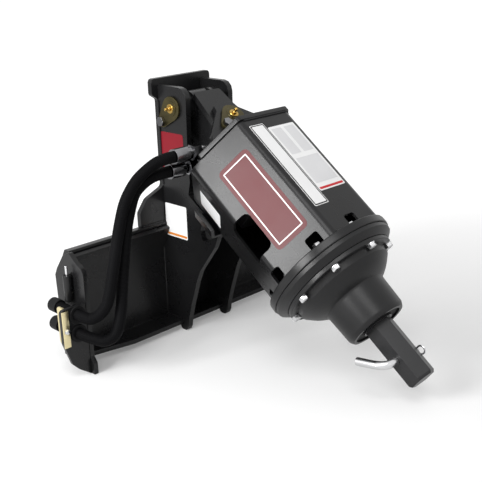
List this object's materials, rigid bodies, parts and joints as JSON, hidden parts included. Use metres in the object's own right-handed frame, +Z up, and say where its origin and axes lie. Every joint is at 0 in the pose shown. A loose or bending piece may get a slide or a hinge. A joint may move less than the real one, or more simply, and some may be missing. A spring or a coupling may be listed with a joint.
{
  "type": "earth auger drive",
  "caption": "Hydraulic earth auger drive with a hexagonal housing, planetary gearbox and hex output shaft, hung from a swing link and mast on a quick-attach plate, with two hoses.",
  "frame": {"origin": "centre of the mount plate's rear face", "axes": "+X to the right seen from the front, +Y rearwards out of the mount plate's rear face, +Z up"},
  "size_m": [0.7183, 0.6775, 0.5525],
  "materials": {
    "black_paint": "satin",
    "grey_casting": "satin paint",
    "yellow_zinc": "yellow zinc plate",
    "bright_zinc": "bright zinc plate",
    "machined_steel": "machined",
    "black_rubber": "matte",
    "bronze_bush": "machined"
  },
  "bodies": {
    "mount_frame": {"mount_plate": "black_paint", "top_bar": "black_paint", "end_plate_left": "black_paint", "end_plate_right": "black_paint", "hose_wing": "black_paint", "hose_clamp_plate": "yellow_zinc", "grommet_upper": "black_rubber", "grommet_lower": "black_rubber", "hose_end_cap_upper": "black_rubber", "hose_end_cap_lower": "black_rubber", "hose_upper": "black_rubber", "hose_lower": "black_rubber", "cheek_left": "black_paint", "cheek_right": "black_paint", "mast_back_plate": "black_paint", "cradle_plate": "black_paint", "cradle_cross_plate": "black_paint", "mast_pin": "yellow_zinc", "mast_pin_bolt": "bright_zinc", "mast_pin_grease_nipple": "bright_zinc"},
    "link": {"link_body": "black_paint", "mast_bush_left": "bronze_bush", "mast_bush_right": "bronze_bush", "hanger_bush_front": "bronze_bush", "hanger_bush_rear": "bronze_bush"},
    "drive_head": {"ear_front": "black_paint", "ear_rear": "black_paint", "hanger_pin": "yellow_zinc", "hanger_pin_bolt": "bright_zinc", "hanger_grease_nipple": "bright_zinc", "lid_plate": "black_paint", "housing_shell": "black_paint", "flange_plate": "black_paint", "motor_body": "grey_casting", "motor_end_cap": "grey_casting", "port_block": "grey_casting", "port_tube_upper": "bright_zinc", "port_tube_lower": "bright_zinc", "hose_fitting_upper": "bright_zinc", "hose_fitting_lower": "bright_zinc", "gearbox_case": "grey_casting", "gearbox_bell": "grey_casting", "bearing_upper": "machined_steel", "bearing_lower": "machined_steel", "shaft_seal": "black_rubber"},
    "output_shaft": {"output_shaft": "machined_steel", "planet_pin_1": "machined_steel", "planet_pin_2": "machined_steel", "planet_pin_3": "machined_steel", "cross_pin": "bright_zinc", "cross_pin_clip": "bright_zinc"},
    "sun_gear": {"sun_gear": "machined_steel", "motor_shaft": "machined_steel"},
    "planet_1": {"planet_gear_1": "machined_steel"},
    "planet_2": {"planet_gear_2": "machined_steel"},
    "planet_3": {"planet_gear_3": "machined_steel"}
  },
  "joints": [
    {"name": "link_swing", "type": "hinge", "parent": "mount_frame", "child": "link", "pos_m": [0, -0.064, 0.389], "axis": [1, 0, 0], "range_deg": [-60, 0], "deforming": ["hose_upper", "hose_lower"]},
    {"name": "side_swing", "type": "hinge", "parent": "link", "child": "drive_head", "pos_m": [0, -0.13881, 0.33208], "axis": [0, -0.6056, 0.7958], "range_deg": [-5, 5], "deforming": ["hose_upper", "hose_lower"]},
    {"name": "output_spin", "type": "hinge", "parent": "drive_head", "child": "output_shaft", "pos_m": [0, -0.54148, 0.02566], "axis": [0, -0.7958, -0.6056], "continuous": true},
    {"name": "sun_spin", "type": "hinge", "parent": "drive_head", "child": "sun_gear", "pos_m": [0, -0.44041, 0.10257], "axis": [0, -0.7958, -0.6056], "continuous": true},
    {"name": "planet_1_spin", "type": "hinge", "parent": "output_shaft", "child": "planet_1", "pos_m": [0, -0.47539, 0.14853], "axis": [0, -0.7958, -0.6056], "continuous": true},
    {"name": "planet_2_spin", "type": "hinge", "parent": "output_shaft", "child": "planet_2", "pos_m": [-0.05001, -0.42293, 0.07959], "axis": [0, -0.7958, -0.6056], "continuous": true},
    {"name": "planet_3_spin", "type": "hinge", "parent": "output_shaft", "child": "planet_3", "pos_m": [0.05001, -0.42293, 0.07959], "axis": [0, -0.7958, -0.6056], "continuous": true}
  ],
  "couplings": [
    {"joint": "sun_spin", "follows": "output_spin", "ratio": 3.6667},
    {"joint": "planet_1_spin", "follows": "output_spin", "ratio": -3.2},
    {"joint": "planet_2_spin", "follows": "output_spin", "ratio": -3.2},
    {"joint": "planet_3_spin", "follows": "output_spin", "ratio": -3.2}
  ]
}
